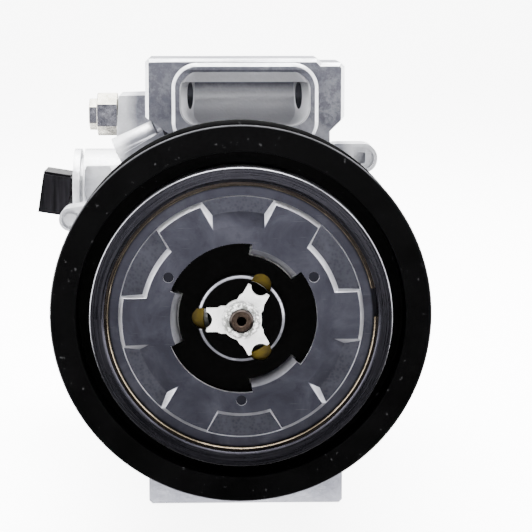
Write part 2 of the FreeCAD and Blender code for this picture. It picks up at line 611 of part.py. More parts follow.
def piston(angle):
    body = rod(PISTON_R, PISTON_FRONT, PISTON_BACK, CYLINDER_PITCH_R, 0.0)
    waist_back = 79.0
    slot = rod(43.2, PLATE_Y - SLOT_HALF, PLATE_Y + SLOT_HALF)
    inner = rod(CYLINDER_PITCH_R - 7.0, PISTON_FRONT - 1.0, waist_back)
    sides = [block(0.0, 60.0, PISTON_FRONT - 1.0, waist_back, z, z + 20.0) for z in (8.5, -28.5)]
    sockets = Part.makeSphere(SHOE_SPHERE_R + 0.06, Vector(CYLINDER_PITCH_R, PLATE_Y, 0))
    body = body.cut(Part.makeCompound([slot, inner]))
    body = body.cut(Part.makeCompound(sides))
    body = body.cut(sockets)
    oil_groove = ring(12.6, PISTON_R + 1.0, 118.0, 119.2)
    oil_groove.translate(Vector(CYLINDER_PITCH_R, 0, 0))
    return spun(body.cut(oil_groove), angle)


def shoe_pair(angle):
    ball = Part.makeSphere(SHOE_SPHERE_R, Vector(CYLINDER_PITCH_R, PLATE_Y, 0))
    column = rod(SHOE_R, PLATE_Y - 12.0, PLATE_Y + 12.0, CYLINDER_PITCH_R, 0.0)
    half = PLATE_HALF + SHOE_GAP
    middle = rod(60.0, PLATE_Y - half, PLATE_Y + half)
    return spun(ball.common(column).cut(middle), angle)


# --- valve plates -------------------------------------------------------------------
def valve_sheet(name, y0, y1):
    sheet = joined([rod(BODY_R, y0, y1)] + ears(y0, y1))
    sheet = sheet.cut(ear_holes(BOLT_HOLE_R, y0 - 1.0, y1 + 1.0))
    suction = rod(3.0, y0 - 1.0, y1 + 1.0, 38.0, 0.0)
    discharge = rod(2.4, y0 - 1.0, y1 + 1.0, 27.0, 0.0)
    suction_reed = ring(4.2, 4.9, y0 - 1.0, y1 + 1.0, 60.0, 240.0)
    suction_reed.translate(Vector(38.0, 0, 0))
    discharge_reed = ring(3.6, 4.3, y0 - 1.0, y1 + 1.0, -120.0, 240.0)
    discharge_reed.translate(Vector(27.0, 0, 0))
    openings = {
        "suction_reed_plate": [suction_reed, discharge],
        "valve_plate": [suction, discharge],
        "discharge_reed_plate": [suction, discharge_reed],
        "reed_stop_gasket": [suction, discharge],
    }[name]
    cuts = [c for opening in openings for c in around(opening, even(CYLINDERS))]
    return sheet.cut(Part.makeCompound(cuts))


def valve_plates():
    y = BLOCK_BACK
    for name, thickness in PLATES:
        save(name, valve_sheet(name, y, y + thickness))
        y += thickness


# --- relief valve -------------------------------------------------------------------
def hexagon(flats, x0, x1, y, z):
    """A hexagonal bar along X with one pair of flats facing front and back."""
    radius = flats / math.sqrt(3.0)
    points = [Vector(x0, y + radius * math.sin(math.radians(a)),
                     z + radius * math.cos(math.radians(a))) for a in range(0, 360, 60)]
    return polygon(points).extrude(Vector(x1 - x0, 0, 0))


def relief_valve():
    y, z = RELIEF_Y, RELIEF_Z
    body = joined([hexagon(RELIEF_FLATS, -48.4, RELIEF_X - 0.9, y, z),
                   cross_rod(4.9, RELIEF_X - 1.0, -29.5, y, z),
                   hexagon(9.6, -51.2, -48.0, y, z)])
    body = body.cut(Part.makeCompound([
        cross_rod(3.4, -46.0, -30.5, y, z), cross_rod(1.4, -31.0, -29.0, y, z),
        cross_rod(1.5, -52.0, -45.0, y, z)]))
    save("relief_valve_body", body)
    save("relief_valve_poppet", joined([cross_rod(3.2, -34.0, -30.6, y, z),
                                        cross_rod(1.2, -38.0, -33.5, y, z)]))
    spring = coil(2.4, 0.4, 11.8, 6)
    save("relief_valve_spring", laid(spring, Vector(-34.05, y, z), Vector(-1, 0, 0)))


# --- control valve and connector ----------------------------------------------------
def control_valve():
    body = joined([valve_rod(9.4, -13.8, -1.2), valve_rod(8.0, -35.6, -13.0)])
    body = body.cut(valve_rod(5.0, -33.0, -4.0))
    body = body.cut(valve_rod(1.6, -36.0, -32.0))
    grooves = [(-31.0, -29.2), (-20.0, -18.2)]
    for start, end in grooves:
        body = body.cut(valve_rod(9.0, start, end).cut(valve_rod(7.1, start, end)))
    save("control_valve_body", body)
    rings = [Part.makeTorus(7.6, 0.5, Vector(VALVE_X + (start + end) / -2.0, VALVE_Y, VALVE_Z),
                            Vector(1, 0, 0)) for start, end in grooves]
    save("control_valve_seals", Part.makeCompound(rings))
    save("control_valve_plunger", joined([valve_rod(4.7, -28.0, -12.0),
                                          valve_rod(1.4, -33.6, -27.5)]))
    spring = coil(3.2, 0.4, 7.6, 5)
    save("control_valve_spring",
         laid(spring, Vector(VALVE_X + 11.9, VALVE_Y, VALVE_Z), Vector(-1, 0, 0)))
    save("control_valve_circlip", valve_rod(9.4, -1.1, -0.1).cut(valve_rod(6.4, -2.0, 1.0)))


def connector():
    """A two-way socket beside the valve; its mouth faces outwards and a little up."""
    x, z = PLUG_BASE
    base = Vector(x, VALVE_Y, z)

    def tilted(shape):
        return laid(shape, base, Vector(0, 0, 1)).rotate(base, Vector(0, 1, 0), PLUG_TILT)

    def brick(width, z0, z1, start, end, middle=0.0):
        return block(-end, -start, middle - width / 2, middle + width / 2, z0, z1)
    shell = joined([brick(20.0, -8.2, 6.1, 2.6, 13.4), brick(17.0, 6.0, 7.0, 3.4, 13.4)])
    shell = shell.cut(brick(16.4, -6.4, 4.3, 5.2, 14.0))
    shell = tilted(shell).fuse(valve_rod(6.2, -1.2, 3.6)).removeSplitter()
    save("connector_shell", shell)
    pins = [tilted(brick(2.2, -1.5, -0.7, 5.2, 11.4, y)) for y in (-3.6, 3.6)]
    save("connector_pins", Part.makeCompound(pins))


# --- the whole compressor -----------------------------------------------------------
save("pulley_rim", pulley_rim())
save("pulley_insert", pulley_insert())
save("cover_snap_ring", cover_snap_ring())
save("damper_cover", damper_cover())
save("rubber_dampers", rubber_dampers())
save("limiter_disc", limiter_disc())
save("hub_spider", hub_spider())
save("drive_shaft", drive_shaft())
pulley_bearing()
save("front_housing", front_housing())
save("cylinder_block", cylinder_block())
save("rear_housing", rear_housing())
save("through_bolts", through_bolts())
save("body_gasket", body_gasket())
shaft_parts()
save("lug_plate", lug_plate())
save("swash_plate", swash_plate())
save("guide_pin", cross_rod(PIN_R, -11.4, 11.4, PIN_Y, PIN_Z))
destroke = coil(11.2, 0.8, PLATE_Y - HUB_HALF - LUG_BACK - 2.8, 3)
save("destroke_spring", laid(destroke, Vector(0, LUG_BACK + 2.7, 0), Vector(0, 1, 0)))
for number, direction in enumerate(even(CYLINDERS), start=1):
    save("piston_%d" % number, piston(direction))
    save("shoes_%d" % number, shoe_pair(direction))
valve_plates()
relief_valve()
control_valve()
connector()
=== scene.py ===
import json
import math

import bpy
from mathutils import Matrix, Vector


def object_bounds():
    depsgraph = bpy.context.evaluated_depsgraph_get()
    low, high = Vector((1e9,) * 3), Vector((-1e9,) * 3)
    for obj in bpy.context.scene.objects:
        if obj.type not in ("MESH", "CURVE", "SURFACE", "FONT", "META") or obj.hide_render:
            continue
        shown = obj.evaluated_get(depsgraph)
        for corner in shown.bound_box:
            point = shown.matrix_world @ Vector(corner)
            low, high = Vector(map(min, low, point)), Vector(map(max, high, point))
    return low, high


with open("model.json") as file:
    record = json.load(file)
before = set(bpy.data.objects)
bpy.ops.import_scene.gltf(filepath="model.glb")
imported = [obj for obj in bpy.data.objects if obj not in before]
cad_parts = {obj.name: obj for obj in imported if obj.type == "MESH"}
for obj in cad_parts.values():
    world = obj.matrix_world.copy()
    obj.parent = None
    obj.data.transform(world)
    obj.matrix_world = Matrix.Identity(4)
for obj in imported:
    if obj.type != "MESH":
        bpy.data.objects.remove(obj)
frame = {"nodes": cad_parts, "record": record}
NODES = frame["nodes"]
MOUNTS = {mount["name"]: mount for mount in frame["record"]["mounts"]}
cad_low, cad_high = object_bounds()

CAMERA_AT = (-0.005749, -0.50391, 0.090814)
CAMERA_TURN = (81.2, 0.0, -1.5)       # degrees
CAMERA_LENS = 117.68                  # focal length, mm


# --- material helpers ---------------------------------------------------------------
class Finish:
    """A material made of nodes, read in the part's own coordinates."""

    def __init__(self, name):
        self.material = bpy.data.materials.new(name)
        self.material.use_nodes = True
        self.tree = self.material.node_tree
        self.shader = self.tree.nodes["Principled BSDF"]
        coords = self.add("ShaderNodeTexCoord").outputs
        self.place, self.facing = coords["Object"], coords["Normal"]

    def add(self, kind, **settings):
        node = self.tree.nodes.new(kind)
        for key, value in settings.items():
            setattr(node, key, value)
        return node

    def join(self, source, target):
        if isinstance(source, (int, float)):
            target.default_value = source
        else:
            self.tree.links.new(source, target)

    def set(self, **values):
        for key, value in values.items():
            self.shader.inputs[key.replace("_", " ")].default_value = value

    def maths(self, operation, a, b=0.0):
        node = self.add("ShaderNodeMath", operation=operation)
        self.join(a, node.inputs[0])
        self.join(b, node.inputs[1])
        return node.outputs[0]

    def both(self, first, *others):
        """The product of two or more masks or strengths."""
        for other in others:
            first = self.maths("MULTIPLY", first, other)
        return first

    def split(self):
        """The three coordinates of the place, in metres."""
        node = self.add("ShaderNodeSeparateXYZ")
        self.join(self.place, node.inputs[0])
        return node.outputs

    def length(self, a, b):
        """The length of a line that goes a one way and b across it."""
        return self.maths("SQRT", self.maths("ADD", self.both(a, a), self.both(b, b)))

    def radius(self):
        """Distance from the shaft axis, in metres."""
        x, _, z = self.split()
        return self.length(x, z)

    def turned_place(self, across, along):
        """Coordinates that run fast outwards and slowly around the shaft."""
        x, y, z = self.split()
        angle = self.maths("ARCTAN2", z, x)
        node = self.add("ShaderNodeCombineXYZ")
        self.join(self.both(self.radius(), across), node.inputs[0])
        self.join(self.both(angle, along), node.inputs[1])
        self.join(self.both(y, across), node.inputs[2])
        return node.outputs[0]

    def leaning(self, axis):
        """How far the surface faces along an axis, from -1 to 1."""
        across = self.add("ShaderNodeSeparateXYZ")
        self.join(self.facing, across.inputs[0])
        return across.outputs[axis]

    def sloped(self, low, high):
        """One where the surface leans away from the front and back, as bends and edges do."""
        return self.level(self.maths("ABSOLUTE", self.leaning("Y")), high, low)

    def chamfered(self, side, side_end, front_start, front):
        """One on chamfers and bends, less on what faces straight sideways or to the front."""
        facing = self.maths("ABSOLUTE", self.leaning("Y"))
        return self.both(self.level(facing, side, side_end),
                         self.level(facing, front, front_start))

    def facing_down(self, low, high):
        """One where the surface looks toward the floor."""
        return self.level(self.leaning("Z"), -low, -high)

    def within(self, value, low, high, soft):
        """One between two limits, falling to nothing over the soft width."""
        return self.both(self.level(value, low - soft, low),
                         self.level(value, high + soft, high))

    def noise(self, scale, detail, roughness=0.55, place=None, distortion=0.0):
        node = self.add("ShaderNodeTexNoise")
        node.inputs["Scale"].default_value = scale
        node.inputs["Detail"].default_value = detail
        node.inputs["Roughness"].default_value = roughness
        node.inputs["Distortion"].default_value = distortion
        self.join(self.place if place is None else place, node.inputs["Vector"])
        return node.outputs["Fac"]

    def cells(self, scale):
        node = self.add("ShaderNodeTexVoronoi")
        node.inputs["Scale"].default_value = scale
        self.join(self.place, node.inputs["Vector"])
        return node.outputs["Distance"]

    def ramp(self, value, *stops):
        """Colours, or greys given as one number, at positions between 0 and 1."""
        node = self.add("ShaderNodeValToRGB")
        elements = node.color_ramp.elements
        while len(elements) < len(stops):
            elements.new(0.5)
        for element, (position, colour) in zip(elements, stops):
            element.position = position
            shade = colour if isinstance(colour, tuple) else (colour, colour, colour)
            element.color = (*shade, 1.0)
        self.join(value, node.inputs["Fac"])
        return node.outputs["Color"]

    def level(self, value, low, high, to_low=0.0, to_high=1.0):
        """Slides from to_low to to_high while the value goes from low to high."""
        node = self.add("ShaderNodeMapRange")
        for key, number in (("From Min", low), ("From Max", high),
                            ("To Min", to_low), ("To Max", to_high)):
            node.inputs[key].default_value = number
        self.join(value, node.inputs["Value"])
        return node.outputs["Result"]

    def mix(self, factor, a, b):
        node = self.add("ShaderNodeMix", data_type="RGBA")
        self.join(factor, node.inputs["Factor"])
        for source, target in ((a, node.inputs["A"]), (b, node.inputs["B"])):
            if isinstance(source, tuple):
                target.default_value = (*source, 1.0)
            else:
                self.join(source, target)
        return node.outputs["Result"]

    def bump(self, height, strength, distance):
        node = self.add("ShaderNodeBump")
        node.inputs["Strength"].default_value = strength
        node.inputs["Distance"].default_value = distance
        self.join(height, node.inputs["Height"])
        self.join(node.outputs["Normal"], self.shader.inputs["Normal"])

    def colour(self, source):
        self.join(source, self.shader.inputs["Base Color"])

    def roughness(self, source):
        self.join(source, self.shader.inputs["Roughness"])


def metre_scale(millimetres):
    """Noise scale whose features are about this many millimetres across."""
    return 1000.0 / millimetres


# --- places on the pieces, in metres ------------------------------------------------
# Each pair says where a mask starts to show and where it is full, unless noted.
BOSS_HEIGHT = (0.0480, 0.0510)          # z
BOSS_RADIUS = (0.0560, 0.0580)
SIDE_BLOCKS = (0.0340, 0.0380)          # x, either side
OUTSIDE_CASING = (0.0512, 0.0530)       # radius
CASTING_EDGES = (0.0515, 0.0560)        # radius

POCKET_X = (-0.0185, 0.0225)            # from and to, as are the next three
POCKET_Y = (0.0440, 0.0645)
SCOOP_Z = (0.0500, 0.0641)
LEDGE_Z = (0.0643, 0.0672)
# Heights of the painted shade and painted light in the pocket's scoop.
POCKET_SHADE_Z = (0.0590, 0.0640)
POCKET_LIGHT_Z = (0.0630, 0.0560)
MOUTH_X = (-0.0150, 0.0190)             # from and to, as are the next two
MOUTH_Y = (0.0410, 0.0440)
MOUTH_Z = (0.0673, 0.0682)
BOLT_WAY = (0.0046, 0.0044)             # radius round the mounting bolt

RIM_FRONT = (-0.0113, -0.0116)          # y
RIM_EDGE = (0.0530, 0.0535)             # radius
LIP_BAND = (0.0429, 0.0436)             # radius, from and to

PANEL_FLOOR = (-0.0137, -0.0134)        # y
DIMPLE_FLOOR = (-0.01560, -0.01545)     # y
DIMPLES_FROM = (0.0222, 0.0224)         # radius
DIMPLES_TO = (0.0256, 0.0254)
TABS_END = (0.0206, 0.0214)
BENDS_END = (0.0372, 0.0368)
COVER_EDGE = (0.0374, 0.0380)

WORN_FROM = (0.01165, 0.01185)          # radius
WORN_TO = (0.01245, 0.01225)
LIMITER_FRONT = (-0.0147, -0.0150)      # y
HUB_BOSS = (0.0058, 0.0052)             # radius
HUB_BOSS_RIM = (0.0050, 0.0052)         # radius, from and to
SHAFT_END = (-0.0190, -0.0194)          # y
SHAFT_RING = (0.0026, 0.0029)           # radius
CENTRE_HOLE = (0.0014, 0.0013)          # radius


# --- finishes -----------------------------------------------------------------------
def cast_aluminium():
    """Die-cast alloy: stained flats, boss fronts darkened by painted shade, painted highlights on
    bends and edges, painted light on the side blocks and painted shade on faces that look down.
    """
    f = Finish("cast_aluminium")
    f.set(Metallic=0.7)
    cloud = f.noise(metre_scale(17.0), 6.0, 0.65, distortion=0.15)
    grain = f.noise(metre_scale(0.8), 3.0, 0.7)
    pits = f.cells(metre_scale(1.3))
    base = f.ramp(cloud, (0.34, (0.125, 0.127, 0.150)), (0.48, (0.17, 0.173, 0.198)),
                  (0.64, (0.245, 0.248, 0.272)))
    spots = f.level(f.noise(metre_scale(2.6), 5.0, 0.7), 0.55, 0.68)
    base = f.mix(f.both(spots, 0.4), base, (0.07, 0.072, 0.092))

    x, _, z = f.split()
    mottle = f.level(f.noise(metre_scale(2.2), 6.0, 0.75), 0.42, 0.56, 0.35, 0.80)
    # Painted shade: boss faces turned to the front are darkened, with a mottle of stains.
    boss_front = f.both(f.level(z, *BOSS_HEIGHT), f.level(f.radius(), *BOSS_RADIUS),
                        f.level(f.leaning("Y"), -0.70, -0.95))
    base = f.mix(f.both(boss_front, mottle), base, (0.070, 0.070, 0.092))

    # Painted light: the side blocks outside the casing are lightened to near white.
    side = f.both(f.level(f.maths("ABSOLUTE", x), *SIDE_BLOCKS),
                  f.level(f.radius(), *OUTSIDE_CASING),
                  f.level(cloud, 0.35, 0.60, 0.35, 0.75))
    base = f.mix(side, base, (0.78, 0.785, 0.80))
    # Painted highlights: chamfers and bends outside the casing are lightened.
    bend_highlight = f.both(f.chamfered(0.05, 0.22, 0.60, 0.93),
                  f.level(f.radius(), *CASTING_EDGES),
                  f.level(cloud, 0.30, 0.55, 0.50, 0.85))
    base = f.mix(bend_highlight, base, (0.74, 0.745, 0.76))
    # Painted shade: faces that look down are darkened.
    base = f.mix(f.both(f.facing_down(0.30, 0.60), 0.85), base, (0.045, 0.045, 0.060))

    # Painted light and painted shade in the upper boss's pocket.
    pocket_shade, pocket_light = upper_pocket(f)
    base = f.mix(pocket_light, base, (0.95, 0.95, 0.98))
    f.colour(f.mix(pocket_shade, base, (0.020, 0.020, 0.028)))
    f.roughness(f.level(grain, 0.25, 0.75, 0.34, 0.58))
    f.bump(f.maths("ADD", f.both(grain, 0.7), f.both(pits, 0.5)), 0.5, 0.00025)
    return f.material


def upper_pocket(f):
    """Two masks for the upper boss's pocket: painted shade under its ledge, above its mouth and in
    the bolt way, and painted light on the ledge and low down in the scoop."""
    x, y, z = f.split()
    inside = f.both(f.within(x, *POCKET_X, 0.0003), f.within(y, *POCKET_Y, 0.0005))
    scoop = f.both(inside, f.within(z, *SCOOP_Z, 0.0002))
    ledge = f.both(inside, f.within(z, *LEDGE_Z, 0.0002))
    # Painted light: lighter low in the scoop and on the ledge.
    pocket_light = f.maths("MAXIMUM", f.both(scoop, f.level(z, *POCKET_LIGHT_Z)), f.both(ledge, 0.45))

    mouth = f.both(f.within(x, *MOUTH_X, 0.0030), f.within(y, *MOUTH_Y, 0.0003),
                   f.within(z, *MOUTH_Z, 0.0003))
    # Painted shade: darker high in the scoop, above the mouth and round the bolt way.
    pocket_shade = f.maths("MAXIMUM", f.both(scoop, f.level(z, *POCKET_SHADE_Z, 0.0, 0.70)),
                   f.both(mouth, 0.8))
    _, bolt_y, bolt_z = MOUNTS["upper_mounting_bore"]["pos_m"]
    from_bolt = f.length(f.maths("SUBTRACT", y, bolt_y), f.maths("SUBTRACT", z, bolt_z))
    bolt_way = f.both(f.level(from_bolt, *BOLT_WAY), 0.97)
    return f.maths("MAXIMUM", pocket_shade, bolt_way), pocket_light


def phenolic():
    """Black moulding with pale specks; its front outer edge carries a grey painted highlight."""
    f = Finish("phenolic_black")
    f.set(Metallic=0.0, Specular_IOR_Level=0.05)
    grain = f.noise(metre_scale(0.5), 3.0, 0.6)
    cloud = f.noise(metre_scale(14.0), 4.0, 0.6)
    specks = f.level(f.noise(metre_scale(1.6), 2.0, 0.5), 0.70, 0.76)
    base = f.ramp(cloud, (0.3, (0.0001, 0.0001, 0.0002)), (0.7, (0.0006, 0.0006, 0.0008)))
    base = f.mix(f.both(specks, 0.25), base, (0.05, 0.05, 0.052))
    _, y, _ = f.split()
    # Painted highlight: a grey line along the rim's front outer edge.
    edge_highlight = f.both(f.sloped(0.55, 0.95), f.level(y, *RIM_FRONT),
                    f.level(f.radius(), *RIM_EDGE), f.level(cloud, 0.35, 0.6, 0.3, 1.0))
    f.colour(f.mix(edge_highlight, base, (0.06, 0.06, 0.066)))
    f.roughness(f.level(cloud, 0.3, 0.7, 0.40, 0.52))
    f.bump(grain, 0.18, 0.00008)
    return f.material


def insert_steel():
    """Lathe-turned steel: fine rings about the shaft, and a bright painted highlight along the
    lip's outer edge.
    """
    f = Finish("insert_steel")
    f.set(Metallic=1.0)
    rings = f.noise(1.0, 4.0, 0.65, f.turned_place(2600.0, 1.6))
    cloud = f.noise(metre_scale(9.0), 4.0, 0.6)
    base = f.mix(f.level(rings, 0.3, 0.7), (0.010, 0.010, 0.014), (0.060, 0.058, 0.070))
    # Painted highlight: a bright line along the lip's outer edge.
    edge_highlight = f.both(f.sloped(0.30, 0.97), f.within(f.radius(), *LIP_BAND, 0.0001),
                    f.level(cloud, 0.35, 0.60, 0.55, 1.0))
    f.colour(f.mix(edge_highlight, base, (0.42, 0.42, 0.45)))
    mixed = f.maths("ADD", f.both(rings, 0.6), f.both(cloud, 0.4))
    f.roughness(f.level(mixed, 0.32, 0.68, 0.20, 0.36))
    f.bump(rings, 0.25, 0.00006)
    return f.material


def snap_ring_steel():
    """Spring steel, darkened on its flat by painted shade and golden along its rounded edges with
    painted highlights.
    """
    f = Finish("snap_ring_steel")
    f.set(Metallic=1.0)
    rings = f.noise(1.0, 3.0, 0.6, f.turned_place(3000.0, 2.0))
    # Painted shade darkens the flat, and golden painted highlights sit on the rounded edges.
    flat = f.mix(f.level(rings, 0.3, 0.7), (0.015, 0.012, 0.012), (0.06, 0.048, 0.040))
    f.colour(f.mix(f.sloped(0.75, 0.97), flat, (0.19, 0.155, 0.11)))
    f.roughness(f.level(rings, 0.3, 0.7, 0.16, 0.30))
    f.bump(rings, 0.2, 0.00005)
    return f.material


def zinc_cover():
    """Plated sheet: cloudy and scratched, with grained panel floors, painted highlights on the
    bends and painted shade in the dimples and on the outer edge.
    """
    f = Finish("zinc_cover")
    f.set(Metallic=0.9)
    cloud = f.noise(metre_scale(13.0), 6.0, 0.62, distortion=0.6)
    fine = f.noise(metre_scale(0.6), 3.0, 0.7)
    base = f.ramp(cloud, (0.34, (0.038, 0.038, 0.052)), (0.52, (0.054, 0.054, 0.072)),
                  (0.68, (0.078, 0.078, 0.100)))
    stain = f.level(f.noise(metre_scale(5.0), 5.0, 0.7), 0.55, 0.70)
    base = f.mix(f.both(stain, 0.4), base, (0.022, 0.022, 0.033))

    _, y, _ = f.split()
    r = f.radius()
    panel = f.level(y, *PANEL_FLOOR)
    granular = f.cells(metre_scale(0.9))
    base = f.mix(f.both(panel, f.level(granular, 0.1, 0.6, 0.0, 0.18)), base,
                 (0.20, 0.205, 0.23))
    base = f.mix(f.both(scratches(f), 0.12), base, (0.34, 0.35, 0.38))
    # Painted shade in the dimples.
    dimple_shade = f.both(f.level(y, *DIMPLE_FLOOR), f.level(r, *DIMPLES_FROM),
                     f.level(r, *DIMPLES_TO))
    base = f.mix(dimple_shade, base, (0.022, 0.022, 0.030))
    # Painted shadow on the cover's outer edge.
    base = f.mix(f.level(r, *COVER_EDGE), base, (0.008, 0.008, 0.011))

    # Painted highlights on the bends, dimmed on faces that look down as painted shade.
    bend_highlight = f.both(f.sloped(0.50, 0.80),
                  f.level(f.noise(metre_scale(8.0), 3.0), 0.35, 0.60, 0.60, 1.0),
                  f.level(f.facing_down(0.3, 1.0), 0.0, 1.0, 1.0, 0.35),
                  f.level(r, *BENDS_END), f.level(r, *TABS_END, 0.35, 1.0))
    f.colour(f.mix(bend_highlight, base, (0.92, 0.92, 0.97)))
    uneven = f.maths("ADD", f.both(cloud, 0.5), f.both(fine, 0.5))
    f.roughness(f.level(uneven, 0.35, 0.65, 0.30, 0.50))
    height = f.maths("ADD", f.both(fine, 0.35), f.both(panel, granular, 0.35))
    f.bump(height, 0.35, 0.00016)
    return f.material


def scratches(f):
    """Hair lines that run one way across the front."""
    streak = f.add("ShaderNodeMapping")
    streak.inputs["Rotation"].default_value = (0.0, 0.6, 0.0)
    streak.inputs["Scale"].default_value = (120.0, 400.0, 3200.0)
    f.join(f.place, streak.inputs["Vector"])
    return f.level(f.noise(1.0, 2.0, 0.5, streak.outputs[0]), 0.70, 0.76)


def limiter_black():
    """Black phosphate with the raised centre's rim worn to bare metal."""
    f = Finish("limiter_black")
    f.set(Specular_IOR_Level=0.03)
    _, y, _ = f.split()
    r = f.radius()
    fine = f.noise(metre_scale(0.8), 4.0, 0.6)
    worn = f.both(f.level(r, *WORN_FROM), f.level(r, *WORN_TO), f.level(y, *LIMITER_FRONT),
                  f.level(f.noise(metre_scale(2.5), 4.0), 0.30, 0.46, 0.35, 1.0))
    f.colour(f.mix(worn, f.ramp(fine, (0.3, 0.0001), (0.7, 0.0006)), (0.22, 0.22, 0.25)))
    f.join(worn, f.shader.inputs["Metallic"])
    f.roughness(f.level(worn, 0.0, 1.0, 0.55, 0.28))
    f.bump(fine, 0.2, 0.00008)
    return f.material


def hub_steel():
    """Bright sintered arms round a boss that is mottled where it was pressed."""
    f = Finish("hub_steel")
    f.set(Metallic=0.45)
    fine = f.noise(metre_scale(0.7), 4.0, 0.65)
    cloud = f.noise(metre_scale(4.0), 4.0, 0.6)
    base = f.ramp(cloud, (0.3, (0.56, 0.56, 0.55)), (0.7, (0.86, 0.86, 0.85)))
    blots = f.level(f.noise(metre_scale(1.2), 4.0, 0.7), 0.44, 0.52)
    base = f.mix(f.both(f.level(f.radius(), *HUB_BOSS), blots, 0.9), base,
                 (0.060, 0.062, 0.055))
    # Painted shade: a dark line round the edge of the boss.
    rim = f.within(f.radius(), *HUB_BOSS_RIM, 0.0002)
    f.colour(f.mix(f.both(rim, 0.5), base, (0.12, 0.12, 0.12)))
    f.roughness(f.level(fine, 0.3, 0.7, 0.26, 0.46))
    f.bump(fine, 0.7, 0.00025)
    return f.material


def shaft_steel():
    """Ground shaft; its front end is browned round the centre hole."""
    f = Finish("shaft_steel")
    f.set(Metallic=1.0)
    _, y, _ = f.split()
    r = f.radius()
    cloud = f.noise(metre_scale(1.2), 4.0, 0.6)
    brown = f.ramp(cloud, (0.3, (0.045, 0.032, 0.026)), (0.7, (0.16, 0.115, 0.090)))
    brown = f.mix(f.level(r, *SHAFT_RING), brown, (0.025, 0.020, 0.018))
    shade = f.mix(f.level(y, *SHAFT_END), (0.70, 0.69, 0.67), brown)
    # Painted shade: the centre hole is painted black.
    f.colour(f.mix(f.level(r, *CENTRE_HOLE), shade, (0.001, 0.001, 0.001)))
    rings = f.noise(1.0, 3.0, 0.6, f.turned_place(4200.0, 1.2))
    f.roughness(f.level(rings, 0.3, 0.7, 0.24, 0.42))
    f.bump(rings, 0.2, 0.00004)
    return f.material


def yellow_chromate():
    """Passivated zinc, a deep olive yellow with a dull surface."""
    f = Finish("yellow_chromate")
    cloud = f.noise(metre_scale(3.0), 4.0, 0.6)
    f.colour(f.ramp(cloud, (0.3, (0.026, 0.017, 0.0)), (0.7, (0.062, 0.042, 0.0))))
    f.set(Metallic=0.0, Specular_IOR_Level=0.08)
    f.roughness(f.level(cloud, 0.3, 0.7, 0.45, 0.65))
    return f.material


def connector_plastic():
    """Charcoal moulding with faint draw lines down its sides."""
    f = Finish("connector_plastic")
    x, y, z = f.split()
    lines = f.add("ShaderNodeCombineXYZ")
    f.join(f.both(x, 900.0), lines.inputs[0])
    f.join(f.both(y, 900.0), lines.inputs[1])
    f.join(f.both(z, 60.0), lines.inputs[2])
    drawn = f.noise(1.0, 3.0, 0.6, lines.outputs[0])
    f.colour(f.ramp(drawn, (0.35, (0.0008, 0.0007, 0.0012)), (0.65, (0.0050, 0.0046, 0.0062))))
    f.set(Metallic=0.0, Specular_IOR_Level=0.09)
    f.roughness(f.level(drawn, 0.3, 0.7, 0.32, 0.50))
    f.bump(drawn, 0.12, 0.00008)
    return f.material


def relief_nickel():
    """Nickel plate: painted shade darkens the front flats, and a warm painted highlight lies where
    it turns away.
    """
    f = Finish("relief_nickel")
    f.set(Metallic=0.85)
    cloud = f.noise(metre_scale(3.5), 4.0, 0.6)
    fine = f.noise(metre_scale(1.0), 4.0, 0.6)
    # Painted shade darkens the front flats, and painted highlights light the surfaces that turn
    # away.
    flat = f.ramp(cloud, (0.35, (0.050, 0.050, 0.065)), (0.65, (0.14, 0.14, 0.16)))
    turned = f.ramp(cloud, (0.35, (0.20, 0.19, 0.155)), (0.65, (0.42, 0.40, 0.34)))
    f.colour(f.mix(f.sloped(0.55, 0.95), flat, turned))
    f.roughness(f.level(fine, 0.3, 0.7, 0.18, 0.34))
    f.bump(fine, 0.08, 0.00006)
    return f.material


def machined(name, dark, light, low=0.25, high=0.45):
    """Bare metal between two tones, with its roughness between low and high."""
    f = Finish(name)
    f.set(Metallic=1.0)
    fine = f.noise(metre_scale(0.6), 4.0, 0.6)
    cloud = f.noise(metre_scale(7.0), 4.0, 0.6)
    f.colour(f.mix(f.level(cloud, 0.3, 0.7), dark, light))
    f.roughness(f.level(fine, 0.3, 0.7, low, high))
    f.bump(fine, 0.2, 0.00006)
    return f.material


def coated(name, dark, light, low, high):
    """Rubber, plastic or gasket paper between two tones, roughness between low and high."""
    f = Finish(name)
    f.set(Metallic=0.0)
    fine = f.noise(metre_scale(0.6), 3.0, 0.6)
    cloud = f.noise(metre_scale(8.0), 4.0, 0.6)
    f.colour(f.mix(f.level(cloud, 0.3, 0.7), dark, light))
    f.roughness(f.level(fine, 0.3, 0.7, low, high))
    f.bump(fine, 0.25, 0.00010)
    return f.material


